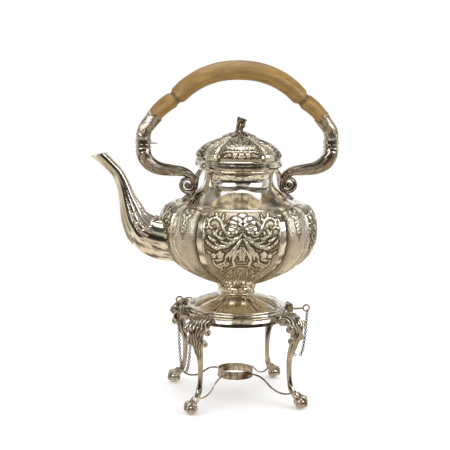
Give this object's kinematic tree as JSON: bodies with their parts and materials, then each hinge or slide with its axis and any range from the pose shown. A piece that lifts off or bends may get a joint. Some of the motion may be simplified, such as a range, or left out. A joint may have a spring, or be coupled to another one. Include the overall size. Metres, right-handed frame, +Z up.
{
  "type": "tea kettle on stand",
  "caption": "Lobed silver tea kettle with arch handle and S spout, hinged at its foot to a four-legged lamp stand with a burner ring and chained draw pins.",
  "frame": {"origin": "on the ground, under the centre of the whole piece's box; the kettle's own axis is 23.25 mm towards +X", "axes": "+Z up, the spout points along -X, the handle arch lies in the XZ plane, -Y is the side seen in the picture"},
  "size_m": [0.2711, 0.169, 0.3699],
  "materials": {
    "silver": "polished",
    "chased_silver": "polished",
    "cast_silver": "satin",
    "fitting_silver": "satin",
    "tarnished_silver": "satin",
    "chain_silver": "satin",
    "grip": "satin"
  },
  "bodies": {
    "stand": {"stand_ring": "silver", "stand_apron": "tarnished_silver", "front_ears": "fitting_silver", "rear_ears": "fitting_silver", "burner_ring": "tarnished_silver", "chain_anchors": "chain_silver", "front_chain_stand_side": "chain_silver", "rear_chain_stand_side": "chain_silver", "leg_front_left": "cast_silver", "knee_leaf_front_left": "cast_silver", "foot_ball_front_left": "cast_silver", "burner_wire_front_left": "tarnished_silver", "leg_front_right": "cast_silver", "knee_leaf_front_right": "cast_silver", "foot_ball_front_right": "cast_silver", "burner_wire_front_right": "tarnished_silver", "leg_back_right": "cast_silver", "knee_leaf_back_right": "cast_silver", "foot_ball_back_right": "cast_silver", "burner_wire_back_right": "tarnished_silver", "leg_back_left": "cast_silver", "knee_leaf_back_left": "cast_silver", "foot_ball_back_left": "cast_silver", "burner_wire_back_left": "tarnished_silver"},
    "kettle": {"kettle_body": "chased_silver", "shoulder_band": "chased_silver", "kettle_neck": "silver", "mouth_rim": "silver", "foot_stem": "silver", "kettle_foot": "chased_silver", "foot_rim": "silver", "front_lug": "fitting_silver", "rear_lug": "fitting_silver", "spout_upper": "silver", "spout_root": "silver", "handle_strap_left": "cast_silver", "handle_arm_left": "cast_silver", "handle_scroll_left": "cast_silver", "handle_collar_left": "cast_silver", "handle_socket_left": "cast_silver", "handle_strap_right": "cast_silver", "handle_arm_right": "cast_silver", "handle_scroll_right": "cast_silver", "handle_collar_right": "cast_silver", "handle_socket_right": "cast_silver", "handle_grip": "grip", "rim_knuckles": "fitting_silver", "lid_hinge_pin": "fitting_silver"},
    "lid": {"lid_flange": "silver", "lid_bezel": "silver", "lid_dome": "chased_silver", "finial_calyx": "cast_silver", "finial": "cast_silver", "finial_nut": "fitting_silver", "lid_knuckle": "fitting_silver"},
    "front_pin": {"front_pin": "fitting_silver", "front_chain_pin_side": "chain_silver"},
    "rear_pin": {"rear_pin": "fitting_silver", "rear_chain_pin_side": "chain_silver"}
  },
  "joints": [
    {"name": "kettle_tilt", "type": "hinge", "parent": "stand", "child": "kettle", "pos_m": [-0.03735, 0, 0.101], "axis": [0, -1, 0], "range_deg": [0, 50]},
    {"name": "lid_hinge", "type": "hinge", "parent": "kettle", "child": "lid", "pos_m": [0.02325, 0.0508, 0.26], "axis": [-1, 0, 0], "range_deg": [0, 100]},
    {"name": "front_pin_slide", "type": "slide", "parent": "stand", "child": "front_pin", "axis": [0, 1, 0], "range_m": [-0.0112, 0]},
    {"name": "rear_pin_slide", "type": "slide", "parent": "stand", "child": "rear_pin", "axis": [0, 1, 0], "range_m": [0, 0.0112]}
  ]
}
